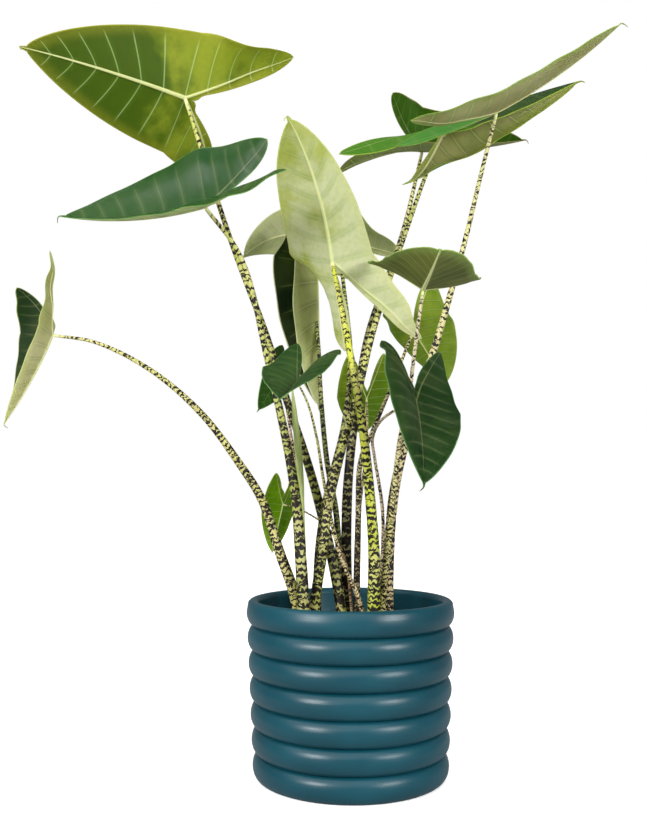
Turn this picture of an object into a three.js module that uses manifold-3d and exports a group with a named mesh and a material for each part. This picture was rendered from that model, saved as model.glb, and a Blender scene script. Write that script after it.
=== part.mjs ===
// A potted zebra-stemmed alocasia: arrow-shaped leaves on long round leaf stalks that stand in
// plain holes in the soil of a ribbed cylinder pot.
// Millimetres, +Z up. The origin is the centre of the pot's flat base, and the front is -Y.
import * as THREE from 'three';
import Module from 'manifold-3d';

// Free space between the stalks and the soil, and between the soil and the pot.
const CLEARANCE = 0.3;
// A stalk ends just below its blade. Two nested rooms are cut from it: one close round the blade,
// and one wider and, in shares of the midrib's length, deeper at the notch between the lobes.
const BLADE_ROOM = { close: 0.3, wide: 0.9, notch: 0.015 };

const POT = {
  height: 200,
  radius: 120,
  beads: 7,
  beadDepth: 9,
  taperPerBead: 1.3,
  lipRadius: 6.5,
  // degrees round the lip, from outside over the top
  lipArc: [48, 81, 114, 147, 180],
  innerRadius: 106,
  innerFloorRadius: 97,
  floorThickness: 10,
  footRadius: 98,
  arcsPerBead: 4,
  sides: 48,
};

// The crown is highest on the axis, and shoulder gives shares of the pot's radius and the crown.
const SOIL = { level: 166, crown: 3, shoulder: [0.7, 0.6], wallGap: 1.3, holeDepth: 34, sides: 40 };

const STALK = { sides: 8, stepsPerSpan: 2, taperPower: 1.15 };

const BLADE = {
  thickness: 0.9,
  // rows along the blade and along each lobe, and the shares of the half width between them
  bladeRows: 8,
  lobeRows: 5,
  across: [0, 0.3, 0.65, 1],
  acrossInner: [0, 0.5, 1],
  // straight steps that stand for the curve of a midrib, of a lobe and of a cross-section
  midribSteps: 12,
  lobeSteps: 5,
  sectionSteps: 6,
  // the outline in shares of the midrib's length: how it narrows to the tip, how full it stays
  // on the way, and how far the rows sweep forward to the margin
  tipHalfWidth: 0.015,
  narrowing: 0.82,
  fullness: 0.42,
  sweep: 0.5,
  sweepCurve: 1.3,
  dripTip: 0.07,
  dripTipCurl: 90,
  waveHeight: 0.012,
  waves: 3,
  // the rim rolls from this share of the half width outwards
  rimStart: 0.55,
};

const LOBE = {
  // outer margin: how it narrows to the lobe's tip, and how full it stays on the way
  narrowing: 0.8,
  fullness: 0.25,
  // inner margin: its half width in shares of the blade's, how fast it widens from the notch,
  // and how it narrows and rounds towards the lobe's tip
  innerWidth: 0.26,
  widening: 0.8,
  innerNarrowing: 2.6,
  innerRoundness: 0.6,
  // behind the notch the joined margin fades into the free one, within these shares
  fadeReach: 0.05,
  fadeStretch: 1.2,
  // half width in shares of the midrib's length within which the lobes bend together
  sharedBend: 0.12,
  // the roll is full from 1 / rollOnset of the lobe's length, at rollWidth of the half width
  rollOnset: 1.6,
  rollWidth: 0.6,
};

// Each leaf has the place where the stalk meets the blade, the place where the drip tip begins,
// and its own form. Pairs are [left, right] as seen on the upper side with the tip ahead.
// width, lobe and joined are shares of the midrib's length, and the rest are degrees.
const LEAVES = [
  { name: 'top_left', attach: [-204, 38, 813], tip: [-363, -85, 819], roll: 50,
    width: [0.4, 0.38], lobe: [0.78, 0.74], spread: [35, 45],
    fold: [30, 0], curl: [-15, 15], bend: 25, twist: -25, joined: 0.04,
    lobeBend: [-25, -40], lobeRoll: [65, -10], rimRoll: [-5, -10] },
  { name: 'mid_left', attach: [-167, -49, 649], tip: [-340, -2, 650], roll: -34,
    width: [0.34, 0.4], lobe: [0.92, 0.59], spread: [31, 28],
    fold: [23, 44], curl: [-4, 35], bend: -23, twist: -4, joined: 0.04,
    lobeBend: [-13, -5], lobeRoll: [5, 29], rimRoll: [-17, -38] },
  { name: 'centre_tall', attach: [-21, -17, 593], tip: [-66, -148, 711], roll: -10,
    width: [0.27, 0.4], lobe: [0.82, 0.62], spread: [40, -2],
    fold: [40, 0], curl: [10, 50], bend: 35, twist: -20, joined: 0.04,
    lobeBend: [0, 5], lobeRoll: [5, -85], rimRoll: [-10, -25] },
  { name: 'centre_rear', attach: [-12, 132, 657], tip: [-133, 91, 625], roll: 30,
    width: [0.36, 0.38], lobe: [0.62, 0.7], spread: [8, 30],
    fold: [35, 10], curl: [-15, -35], bend: 80, twist: 0, joined: 0.04,
    lobeBend: [5, 0], lobeRoll: [60, 5], rimRoll: [10, 0] },
  { name: 'centre_hanging', attach: [-39, 81, 615], tip: [-36, 74, 432], roll: 72,
    width: [0.27, 0.35], lobe: [0.27, 0.34], spread: [33, 35],
    fold: [75, 72], curl: [-2, 18], bend: -1, twist: -48, joined: 0.04,
    lobeBend: [-9, -5], lobeRoll: [2, -23], rimRoll: [-2, -1] },
  { name: 'far_left', attach: [-354, 5, 509], tip: [-391, -40, 404], roll: 44,
    width: [0.2, 0.37], lobe: [0.82, 0.74], spread: [35, 34],
    fold: [32, 60], curl: [-1, 9], bend: -12, twist: -30, joined: 0.07,
    lobeBend: [-1, -25], lobeRoll: [70, -25], rimRoll: [18, 13] },
  { name: 'top_right', attach: [167, -59, 757], tip: [309, -51, 860], roll: 0,
    width: [0.36, 0.34], lobe: [0.7, 0.76], spread: [30, 30],
    fold: [15, 0], curl: [20, 0], bend: -15, twist: 10, joined: 0.04,
    lobeBend: [0, -20], lobeRoll: [5, 0], rimRoll: [0, 15] },
  { name: 'right_second', attach: [129, 80, 790], tip: [301, 103, 861], roll: -50,
    width: [0.28, 0.38], lobe: [0.74, 0.82], spread: [30, 35],
    fold: [-40, -50], curl: [-20, -35], bend: 25, twist: -25, joined: 0.04,
    lobeBend: [0, -45], lobeRoll: [35, -50], rimRoll: [-35, -25] },
  { name: 'right_third', attach: [106, 172, 792], tip: [237, 137, 794], roll: 54,
    width: [0.43, 0.38], lobe: [0.71, 0.8], spread: [50, 31],
    fold: [50, 43], curl: [15, 9], bend: -14, twist: -3, joined: 0.04,
    lobeBend: [-18, 51], lobeRoll: [63, -12], rimRoll: [14, 5] },
  { name: 'right_small', attach: [77, -100, 543], tip: [75, -262, 545], roll: -10,
    width: [0.36, 0.34], lobe: [0.76, 0.76], spread: [35, 35],
    fold: [30, 40], curl: [-15, -25], bend: -5, twist: -5, joined: 0.04,
    lobeBend: [-15, -10], lobeRoll: [5, 0], rimRoll: [15, -5] },
  { name: 'front_right', attach: [69, -94, 421], tip: [67, -184, 334], roll: -40,
    width: [0.42, 0.38], lobe: [0.78, 0.7], spread: [15, 35],
    fold: [20, 30], curl: [-5, -40], bend: 10, twist: -20, joined: 0.12,
    lobeBend: [-35, 10], lobeRoll: [-5, -65], rimRoll: [5, -25] },
  { name: 'right_rear', attach: [82, 63, 524], tip: [131, 137, 467], roll: -5,
    width: [0.32, 0.5], lobe: [0.46, 0.78], spread: [25, 35],
    fold: [0, 10], curl: [10, -5], bend: 0, twist: 5, joined: 0.04,
    lobeBend: [20, -30], lobeRoll: [-25, 30], rimRoll: [10, -5] },
  { name: 'young_centre', attach: [24, 92, 441], tip: [20, 140, 398], roll: -5,
    width: [0.58, 0.46], lobe: [1.0, 1.0], spread: [22, 18],
    fold: [10, 10], curl: [-5, -5], bend: -20, twist: 0, joined: 0.12,
    lobeBend: [-20, -10], lobeRoll: [5, 0], rimRoll: [-5, 0] },
  { name: 'young_front', attach: [-60, -81, 445], tip: [-74, -184, 416], roll: -20,
    width: [0.36, 0.38], lobe: [0.76, 0.7], spread: [30, 15],
    fold: [65, 20], curl: [-40, -35], bend: -15, twist: 0, joined: 0.08,
    lobeBend: [-5, -25], lobeRoll: [-40, 25], rimRoll: [-15, 5] },
  { name: 'young_low', attach: [-81, 58, 307], tip: [-95, 81, 248], roll: -5,
    width: [0.42, 0.38], lobe: [0.72, 0.64], spread: [25, 30],
    fold: [20, 20], curl: [-10, -5], bend: 0, twist: -20, joined: 0.16,
    lobeBend: [0, -40], lobeRoll: [15, 5], rimRoll: [0, -10] },
  { name: 'young_rear', attach: [-82, 86, 475], tip: [-110, 44, 424], roll: -50,
    width: [0.34, 0.36], lobe: [0.7, 0.68], spread: [30, 25],
    fold: [0, 20], curl: [-25, -10], bend: 45, twist: -10, joined: 0.04,
    lobeBend: [25, 0], lobeRoll: [5, 5], rimRoll: [-10, 0] },
];

// Leaf stalks: the radius at the soil and at the blade, and the points that the stalk passes
// from its foot in the soil. A stalk with a leaf of the same name ends at that leaf.
const STALKS = [
  { name: 'top_left', radii: [6.8, 2.3],
    points: [[-8, -4], [-11, 0, 191], [-34, 13, 300], [-53, 10, 367], [-76, 5, 436], [-101, 8, 514],
      [-146, 32, 634]] },
  { name: 'mid_left', radii: [8.0, 2.2],
    points: [[-51, -36], [-54, -34, 195], [-56, -33, 238], [-63, -30, 319], [-74, -27, 383],
      [-96, -26, 478], [-127, -32, 595]] },
  { name: 'centre_tall', radii: [8.4, 2.6],
    points: [[27, -31], [26, -30, 195], [26, -32, 257], [20, -38, 338], [12, -52, 402],
      [2, -62, 460], [-9, -54, 523]] },
  { name: 'centre_rear', radii: [5.6, 2.2],
    points: [[-40, 3], [-39, 1, 190], [-36, -3, 260], [-28, 2, 313], [-5, 30, 409], [2, 44, 485],
      [-3, 78, 563]] },
  { name: 'centre_hanging', radii: [4.6, 2.0],
    points: [[-14, 20], [-13, 21, 188], [-15, 24, 289], [-27, 30, 361], [-34, 46, 437],
      [-37, 66, 500], [-42, 85, 572]] },
  { name: 'far_left', radii: [7.4, 1.7],
    points: [[-57, -14], [-61, -16, 193], [-82, -16, 256], [-102, -16, 314], [-129, -16, 357],
      [-174, -14, 415], [-233, -10, 465], [-300, -3, 499]] },
  { name: 'top_right', radii: [7.6, 2.0],
    points: [[44, 0], [43, -2, 193], [51, -6, 320], [72, -8, 407], [106, -4, 512], [136, -8, 617],
      [151, -32, 686]] },
  { name: 'right_second', radii: [6.6, 2.2],
    points: [[-40, -18], [-41, -15, 193], [-32, -15, 254], [-24, -12, 314], [-6, 0, 386],
      [10, 16, 441], [30, 32, 520], [72, 56, 647], [104, 70, 736]] },
  { name: 'right_third', radii: [7.4, 2.2],
    points: [[0, 30], [-3, 27, 188], [-3, 27, 305], [1, 28, 364], [10, 42, 433], [25, 60, 519],
      [70, 98, 651]] },
  { name: 'right_small', radii: [4.6, 1.7],
    points: [[32, -12], [36, -14, 190], [46, -22, 290], [56, -38, 383], [64, -62, 428],
      [68, -86, 473], [73, -101, 517]] },
  { name: 'front_right', radii: [2.6, 1.5],
    points: [[30, 12], [34, 13, 189], [39, 10, 295], [29, 2, 364], [26, -12, 384], [34, -40, 404],
      [52, -65, 416]] },
  { name: 'right_rear', radii: [4.8, 1.8],
    points: [[10, 12], [8, 12, 189], [10, 8, 296], [13, 6, 360], [28, 16, 396], [46, 30, 438]] },
  { name: 'young_centre', radii: [2.8, 1.4],
    points: [[6, 46], [8, 44, 186], [12, 50, 289], [22, 66, 373], [24, 78, 410]] },
  { name: 'young_front', radii: [3.2, 1.1],
    points: [[16, -14], [12, -22, 193], [-12, -32, 252], [-30, -54, 331], [-38, -68, 381],
      [-48, -76, 420]] },
  { name: 'young_low', radii: [2.2, 0.9],
    points: [[4, -16], [1, -8, 192], [-6, 0, 244], [-26, 30, 280], [-57, 46, 300]] },
  { name: 'young_rear', radii: [2.8, 1.4],
    points: [[-44, 18], [-50, 12, 190], [-56, 20, 266], [-66, 44, 361], [-78, 66, 435]] },
];

// The youngest leaf is still rolled into a spear on its own stalk.
const SPEAR = {
  foot: [-50, 9],
  points: [[-51, 3, 190], [-54, -1, 266], [-57, -7, 329], [-62, -9, 384], [-68, -8, 446]],
  // radius at shares of the length
  shares: [0, 0.5, 0.62, 0.78, 0.92, 1],
  radii: [2.6, 2.2, 3.2, 4.2, 2.6, 0.8],
};

const FINISHES = {
  glaze: { color: 0x1f5666, roughness: 0.35, metalness: 0 },
  soil: { color: 0x3a2a1d, roughness: 1, metalness: 0 },
  blade: { color: 0x55803f, roughness: 0.5, metalness: 0 },
  spear: { color: 0x9db36a, roughness: 0.5, metalness: 0 },
  stalk: { color: 0x8b8f4d, roughness: 0.55, metalness: 0 },
};

const SIDES = ['left', 'right'];
const radians = THREE.MathUtils.degToRad;
const smoothstep = (x) => THREE.MathUtils.smoothstep(x, 0, 1);

const wasm = await Module();
wasm.setup();

// Outline of one half of a flat blade

// Half width of the blade at share v of the midrib, for a half that is `width` wide at the stalk.
function halfWidth(v, width) {
  const share = THREE.MathUtils.clamp(v, 0, 1);
  const tip = BLADE.tipHalfWidth;
  return (width - tip) * (1 - share) ** BLADE.narrowing * (1 + BLADE.fullness * share) + tip;
}

// The four zones of a half. Each gives u across and v along the midrib at share `along` of the
// zone's length and share `across` of its width, and where a lobe is, its place along the lobe
// and off the lobe's rib.
const ZONES = {
  blade(half, along, across) {
    const edge = along + BLADE.sweep * along * (1 - along);
    const v = along + (edge - along) * across ** BLADE.sweepCurve;
    return { u: across * halfWidth(edge, half.width), v, alongLobe: 0, offRib: 0 };
  },
  dripTip(half, along, across) {
    const u = across * BLADE.tipHalfWidth * (1 - along);
    return { u, v: 1 + BLADE.dripTip * along, alongLobe: 0, offRib: 0 };
  },
  lobeOuter(half, along, across) {
    const start = half.width * Math.sin(half.spread);
    const rib = along * half.lobe;
    const edge = start + (half.lobe - start) * along;
    const widest = half.width * Math.cos(half.spread);
    const margin = widest * (1 - along) ** LOBE.narrowing * (1 + LOBE.fullness * along);
    return lobePoint(half, along, rib + (edge - rib) * across, across * margin);
  },
  lobeInner(half, along, across) {
    const rib = along * half.lobe;
    const notch = notchReach(half);
    const joined = Math.min(rib, 2 * notch + LOBE.fadeReach) * Math.tan(half.spread);
    const narrowing = Math.max(0, 1 - along ** LOBE.innerNarrowing) ** LOBE.innerRoundness;
    const free = LOBE.innerWidth * half.width * along ** LOBE.widening * narrowing;
    const freed = smoothstep((rib - notch) / (LOBE.fadeStretch * notch + LOBE.fadeReach));
    return lobePoint(half, along, rib, -across * THREE.MathUtils.lerp(joined, free, freed));
  },
};

// How far down a lobe's rib the two lobes are joined, in shares of the midrib's length.
function notchReach(half) {
  return half.joined * Math.cos(half.spread);
}

// A place on a lobe, from its distance along the lobe's rib and off it, outwards positive.
function lobePoint(half, along, alongRib, offRib) {
  const sine = Math.sin(half.spread);
  const cosine = Math.cos(half.spread);
  return {
    u: alongRib * sine + offRib * cosine,
    v: -alongRib * cosine + offRib * sine,
    alongLobe: along,
    offRib,
  };
}

// Bending the flat blade

// The end of a path of length `reach` whose slope at each distance is slope(distance).
function walk(slope, reach, steps) {
  let ahead = 0;
  let up = 0;
  for (let i = 0; i < steps; i++) {
    const angle = slope(((i + 0.5) / steps) * reach);
    ahead += (Math.cos(angle) * reach) / steps;
    up += (Math.sin(angle) * reach) / steps;
  }
  return { ahead, up };
}

// How far a lobe reaches behind the stalk, in shares of the midrib's length.
function lobeReach(half) {
  return half.lobe * Math.cos(half.spread);
}

// Curve of the midrib ahead of the stalk, or of a lobe behind it.
function lengthwise(leaf, half, u, v) {
  if (v >= 0) {
    const curl = radians(BLADE.dripTipCurl) / BLADE.dripTip;
    const slope = (x) => -leaf.bend * Math.min(x, 1) - curl * Math.max(x - 1, 0);
    const { ahead, up } = walk(slope, v, BLADE.midribSteps);
    return { y: ahead, z: up, angle: slope(v) };
  }
  const own = smoothstep(u / LOBE.sharedBend);
  const bend = THREE.MathUtils.lerp(leaf.meanLobeBend, half.lobeBend / lobeReach(half), own);
  const slope = (x) => bend * x;
  const { ahead, up } = walk(slope, -v, BLADE.lobeSteps);
  return { y: -ahead, z: -up, angle: slope(-v) };
}

// Rolls the lobe about its rib, and returns the flat place moved and its height.
function rollLobe(half, place) {
  const distance = Math.abs(place.offRib);
  const share = distance / (half.width * LOBE.rollWidth);
  const turn = half.lobeRoll * smoothstep(place.alongLobe * LOBE.rollOnset) * share;
  if (turn === 0) return { u: place.u, v: place.v, height: 0 };
  const shift = ((distance * Math.sin(turn)) / turn - distance) * Math.sign(place.offRib);
  return {
    u: place.u + shift * Math.cos(half.spread),
    v: place.v + shift * Math.sin(half.spread),
    height: (-distance * (1 - Math.cos(turn))) / turn,
  };
}

// A place of the flat half in space, in shares of the midrib's length: x to the right of the
// midrib, y along it and z off the upper side.
function bend(leaf, half, place) {
  const { u, v, height } = rollLobe(half, place);
  const edge = v >= 0 ? halfWidth(v, half.width) : half.width;
  const rimRoll = (x) => half.rimRoll * smoothstep((x / edge - BLADE.rimStart) / (1 - BLADE.rimStart));
  const slope = (x) => half.fold + (half.curl * x) / half.width + rimRoll(x);
  const section = walk(slope, u, BLADE.sectionSteps);
  const wave = 2 * Math.PI * BLADE.waves * v + half.wavePhase;
  const ripple = BLADE.waveHeight * (u / half.width) ** 2 * Math.sin(wave);
  const across = half.sign * (section.ahead - Math.sin(slope(u)) * height);
  const off = section.up + Math.cos(slope(u)) * height + ripple;
  const turned = new THREE.Vector2(across, off).rotateAround(new THREE.Vector2(), leaf.twist * v);
  const rib = lengthwise(leaf, half, u, v);
  return new THREE.Vector3(
    turned.x,
    rib.y - Math.sin(rib.angle) * turned.y,
    rib.z + Math.cos(rib.angle) * turned.y,
  );
}

// A leaf's parameters in radians, with one record for each half.
function readLeaf(spec) {
  const halves = SIDES.map((side, i) => ({
    sign: i === 0 ? -1 : 1,
    wavePhase: i === 0 ? 2 : 0,
    joined: spec.joined,
    width: spec.width[i],
    lobe: spec.lobe[i],
    spread: radians(spec.spread[i]),
    fold: radians(spec.fold[i]),
    curl: radians(spec.curl[i]),
    lobeBend: radians(spec.lobeBend[i]),
    lobeRoll: radians(spec.lobeRoll[i]),
    rimRoll: radians(spec.rimRoll[i]),
  }));
  const [leftBend, rightBend] = halves.map((half) => half.lobeBend / lobeReach(half));
  return {
    halves,
    bend: radians(spec.bend),
    twist: radians(spec.twist),
    meanLobeBend: (leftBend + rightBend) / 2,
  };
}

// The matrix that carries the bent blade to its place on the plant, and its scale alone.
function leafFrame(spec, leaf) {
  const attach = new THREE.Vector3(...spec.attach);
  const chord = new THREE.Vector3(...spec.tip).sub(attach);
  const end = bend(leaf, leaf.halves[1], { u: 0, v: 1, alongLobe: 0, offRib: 0 });
  const ahead = chord.clone().normalize();
  const level = new THREE.Vector3(0, 0, 1).addScaledVector(ahead, -ahead.z).normalize();
  const up = level.applyAxisAngle(ahead, radians(spec.roll));
  const placed = new THREE.Matrix4().makeBasis(ahead.clone().cross(up), ahead, up);
  const own = end.clone().normalize();
  const ownUp = new THREE.Vector3(1, 0, 0).cross(own);
  const flat = new THREE.Matrix4().makeBasis(new THREE.Vector3(1, 0, 0), own, ownUp);
  const turn = placed.multiply(flat.transpose());
  return { place: turn.setPosition(attach), scale: chord.length() / end.length() };
}

// Closed meshes

// Numbers points, with one number for those that agree to a hundredth.
function pointPool() {
  const points = [];
  const known = new Map();
  return {
    points,
    add(point) {
      const key = point.toArray().map((value) => Math.round(value * 1e2)).join();
      if (!known.has(key)) known.set(key, points.push(point) - 1);
      return known.get(key);
    },
  };
}

// Triangles of a grid of point numbers, without those that a shared corner flattens.
function gridTriangles(grid, flip) {
  const triangles = [];
  for (let i = 0; i < grid.length - 1; i++) {
    for (let j = 0; j < grid[i].length - 1; j++) {
      const corners = [grid[i][j], grid[i][j + 1], grid[i + 1][j + 1], grid[i + 1][j]];
      if (flip) corners.reverse();
      const [a, b, c, d] = corners;
      triangles.push([a, b, c], [a, c, d]);
    }
  }
  return triangles.filter(([a, b, c]) => a !== b && b !== c && c !== a);
}

function toGeometry(points, triangles) {
  const geometry = new THREE.BufferGeometry();
  const numbers = points.flatMap((point) => point.toArray());
  geometry.setAttribute('position', new THREE.Float32BufferAttribute(numbers, 3));
  geometry.setIndex(triangles.flat());
  return geometry;
}

// The shares 0 to 1 in a number of equal steps.
function evenShares(steps) {
  return Array.from({ length: steps + 1 }, (_, i) => i / steps);
}

// One blade as a thin closed sheet: the same triangles on both faces and a rim between them.
function bladeGeometry(leaf, scale, thickness) {
  const pool = pointPool();
  const sheet = [];
  for (const half of leaf.halves) {
    const flip = half.sign < 0;
    const notch = notchReach(half) / half.lobe;
    const lobeRows = [0, ...evenShares(BLADE.lobeRows - 1).map((share) => notch + (1 - notch) * share)];
    const at = (zone, along, across) => {
      const point = bend(leaf, half, ZONES[zone](half, along, across));
      return pool.add(point.multiplyScalar(scale));
    };
    const rows = (zone, steps, shares) => (
      steps.map((along) => shares.map((across) => at(zone, along, across)))
    );
    const backwards = [...lobeRows].reverse();
    const outer = [
      ...rows('lobeOuter', backwards.slice(0, -1), BLADE.across),
      ...rows('blade', evenShares(BLADE.bladeRows), BLADE.across),
      ...rows('dripTip', [0.5, 1], BLADE.across),
    ];
    const inner = rows('lobeInner', backwards, [...BLADE.acrossInner].reverse());
    sheet.push(...gridTriangles(outer, flip), ...gridTriangles(inner, flip));
  }
  return thicken(pool.points, sheet, thickness);
}

// Gives an open sheet a thickness, half to each side, and closes its rim.
function thicken(points, sheet, thickness) {
  const flat = toGeometry(points, sheet);
  flat.computeVertexNormals();
  const normals = flat.getAttribute('normal');
  const shift = (side) => points.map((point, i) => {
    const normal = new THREE.Vector3().fromBufferAttribute(normals, i);
    return point.clone().addScaledVector(normal, (side * thickness) / 2);
  });
  const count = points.length;
  const under = sheet.map(([a, b, c]) => [a + count, c + count, b + count]);
  const edges = new Set(sheet.flatMap(([a, b, c]) => [`${a} ${b}`, `${b} ${c}`, `${c} ${a}`]));
  const rim = [];
  for (const edge of edges) {
    const [a, b] = edge.split(' ').map(Number);
    if (edges.has(`${b} ${a}`)) continue;
    rim.push([b, a, a + count], [b, a + count, b + count]);
  }
  return toGeometry([...shift(1), ...shift(-1)], [...sheet, ...under, ...rim]);
}

// A round bar along a curve, with closed ends. radiusAt gives the radius at each share of it.
function barGeometry(curve, steps, sides, radiusAt) {
  const frames = curve.computeFrenetFrames(steps);
  const points = [];
  for (let i = 0; i <= steps; i++) {
    const centre = curve.getPointAt(i / steps);
    for (let j = 0; j < sides; j++) {
      const angle = (2 * Math.PI * j) / sides;
      const out = frames.normals[i].clone().multiplyScalar(Math.cos(angle));
      out.addScaledVector(frames.binormals[i], Math.sin(angle));
      points.push(centre.clone().addScaledVector(out, radiusAt(i / steps)));
    }
  }
  const triangles = [];
  for (let i = 0; i < steps; i++) {
    for (let j = 0; j < sides; j++) {
      const next = (j + 1) % sides;
      const [a, b] = [i * sides + j, i * sides + next];
      triangles.push([a, b, b + sides], [a, b + sides, a + sides]);
    }
  }
  const last = steps * sides;
  for (let j = 1; j < sides - 1; j++) {
    triangles.push([0, j + 1, j], [last, last + j, last + j + 1]);
  }
  return toGeometry(points, triangles);
}

// Joins and cuts

function toSolid(geometry) {
  return new wasm.Manifold(new wasm.Mesh({
    numProp: 3,
    vertProperties: new Float32Array(geometry.getAttribute('position').array),
    triVerts: new Uint32Array(geometry.getIndex().array),
  }));
}

function fromSolid(solid) {
  const { vertProperties, triVerts } = solid.getMesh();
  const pool = pointPool();
  const numbers = [];
  for (let i = 0; i < vertProperties.length; i += 3) {
    numbers.push(pool.add(new THREE.Vector3(...vertProperties.subarray(i, i + 3))));
  }
  return toGeometry(pool.points, mergedTriangles(triVerts, numbers));
}

// Triangles renumbered to merged points, without those that the merge flattens.
function mergedTriangles(index, numbers) {
  const triangles = [];
  for (let i = 0; i < index.length; i += 3) {
    triangles.push([numbers[index[i]], numbers[index[i + 1]], numbers[index[i + 2]]]);
  }
  return triangles.filter(([a, b, c]) => a !== b && b !== c && c !== a);
}

// The largest of the separate pieces of a solid, once its shortest edges are merged.
function mainPiece(solid) {
  const pieces = toSolid(fromSolid(solid)).decompose();
  return pieces.reduce((a, b) => (b.volume() > a.volume() ? b : a));
}

// Pot and soil

const beadPitch = POT.height / POT.beads;

// The pot's outline from the axis under the base, up the beads, over the lip and down inside.
function potProfile() {
  const points = [new THREE.Vector2(0, 0), new THREE.Vector2(POT.footRadius, 0)];
  for (let bead = POT.beads - 1; bead >= 0; bead--) {
    const top = POT.height - bead * beadPitch;
    const outer = POT.radius - POT.taperPerBead * bead;
    const first = bead === POT.beads - 1 ? 1 : 0;
    const last = bead === 0 ? POT.arcsPerBead / 2 : POT.arcsPerBead - 1;
    for (let i = first; i <= last; i++) {
      const angle = (Math.PI * i) / POT.arcsPerBead - Math.PI / 2;
      const z = top - beadPitch / 2 + (beadPitch / 2) * Math.sin(angle);
      const depth = POT.beadDepth * (1 - Math.cos(angle));
      points.push(new THREE.Vector2(outer - depth, z));
    }
  }
  const lipCentre = new THREE.Vector2(POT.innerRadius + POT.lipRadius, POT.height - POT.lipRadius);
  for (const angle of POT.lipArc.map(radians)) {
    const round = new THREE.Vector2(Math.cos(angle), Math.sin(angle));
    points.push(round.multiplyScalar(POT.lipRadius).add(lipCentre));
  }
  points.push(new THREE.Vector2(POT.innerFloorRadius, POT.floorThickness));
  points.push(new THREE.Vector2(0, POT.floorThickness));
  return points;
}

function innerRadiusAt(z) {
  const rise = (z - POT.floorThickness) / (POT.height - POT.lipRadius - POT.floorThickness);
  return THREE.MathUtils.lerp(POT.innerFloorRadius, POT.innerRadius, rise);
}

// The soil fills the pot to its level, a little higher round the stalks, with a hole for each.
function soilGeometry(holes) {
  const bottom = POT.floorThickness + CLEARANCE;
  const wall = (z) => innerRadiusAt(z) - SOIL.wallGap;
  const profile = [
    new THREE.Vector2(0, bottom),
    new THREE.Vector2(wall(bottom), bottom),
    new THREE.Vector2(wall(SOIL.level), SOIL.level),
    new THREE.Vector2(POT.innerRadius * SOIL.shoulder[0], SOIL.level + SOIL.crown * SOIL.shoulder[1]),
    new THREE.Vector2(0, SOIL.level + SOIL.crown),
  ];
  const fill = toSolid(turned(profile, SOIL.sides));
  return fromSolid(holes.reduce((solid, hole) => solid.subtract(hole), fill));
}

// A lathed profile with its axis along Z and its shared points merged.
function turned(profile, sides) {
  const lathe = new THREE.LatheGeometry(profile, sides).rotateX(Math.PI / 2);
  const positions = lathe.getAttribute('position');
  const pool = pointPool();
  const numbers = Array.from({ length: positions.count }, (_, i) => {
    const point = new THREE.Vector3().fromBufferAttribute(positions, i);
    return pool.add(point);
  });
  return toGeometry(pool.points, mergedTriangles(lathe.getIndex().array, numbers));
}

// Assembly

const plant = new THREE.Group();

function addMesh(name, geometry, finish) {
  const mesh = new THREE.Mesh(geometry, new THREE.MeshStandardMaterial(FINISHES[finish]));
  mesh.name = name;
  plant.add(mesh);
}

function curveThrough(points) {
  const foot = SOIL.level - SOIL.holeDepth;
  const path = points.map(([x, y, z = foot]) => new THREE.Vector3(x, y, z));
  return new THREE.CatmullRomCurve3(path, false, 'centripetal');
}

// A stalk as a solid, `room` wider all round than the stalk itself.
function stalkSolid(curve, steps, radiusAt, room) {
  return toSolid(barGeometry(curve, steps, STALK.sides, (share) => radiusAt(share) + room));
}

// Adds a leaf, and returns the room that its stalk leaves free for it.
function addLeaf(spec) {
  const leaf = readLeaf(spec);
  const { place, scale } = leafFrame(spec, leaf);
  const blade = bladeGeometry(leaf, scale, BLADE.thickness).applyMatrix4(place);
  addMesh(`leaf_${spec.name}`, blade, 'blade');
  const notched = readLeaf({ ...spec, joined: spec.joined + BLADE_ROOM.notch });
  const close = bladeGeometry(leaf, scale, BLADE.thickness + BLADE_ROOM.close).applyMatrix4(place);
  const wide = bladeGeometry(notched, scale, BLADE.thickness + BLADE_ROOM.wide).applyMatrix4(place);
  return toSolid(close).add(toSolid(wide));
}

const bladeRoom = new Map(LEAVES.map((spec) => [spec.name, addLeaf(spec)]));
const holes = [];

for (const { name, radii, points } of STALKS) {
  const { attach } = LEAVES.find((leaf) => leaf.name === name);
  const curve = curveThrough([...points, attach]);
  const radiusAt = (share) => radii[1] + (radii[0] - radii[1]) * (1 - share) ** STALK.taperPower;
  const steps = STALK.stepsPerSpan * points.length;
  const stalk = stalkSolid(curve, steps, radiusAt, 0).subtract(bladeRoom.get(name));
  addMesh(`stalk_${name}`, fromSolid(mainPiece(stalk)), 'stalk');
  holes.push(stalkSolid(curve, steps, radiusAt, CLEARANCE));
}

function spearRadius(share) {
  const next = Math.max(1, SPEAR.shares.findIndex((mark) => mark >= share));
  const [from, to] = [SPEAR.shares[next - 1], SPEAR.shares[next]];
  return THREE.MathUtils.lerp(SPEAR.radii[next - 1], SPEAR.radii[next], (share - from) / (to - from));
}

const spearCurve = curveThrough([SPEAR.foot, ...SPEAR.points]);
const spearSteps = STALK.stepsPerSpan * SPEAR.points.length;
addMesh('leaf_rolled', barGeometry(spearCurve, spearSteps, STALK.sides, spearRadius), 'spear');
holes.push(stalkSolid(spearCurve, spearSteps, spearRadius, CLEARANCE));

addMesh('soil', soilGeometry(holes), 'soil');
addMesh('pot', turned(potProfile(), POT.sides), 'glaze');

export default plant;
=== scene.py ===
from math import cos, pi, radians, sin

import bmesh
import bpy
import numpy as np
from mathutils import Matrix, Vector, noise


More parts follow.
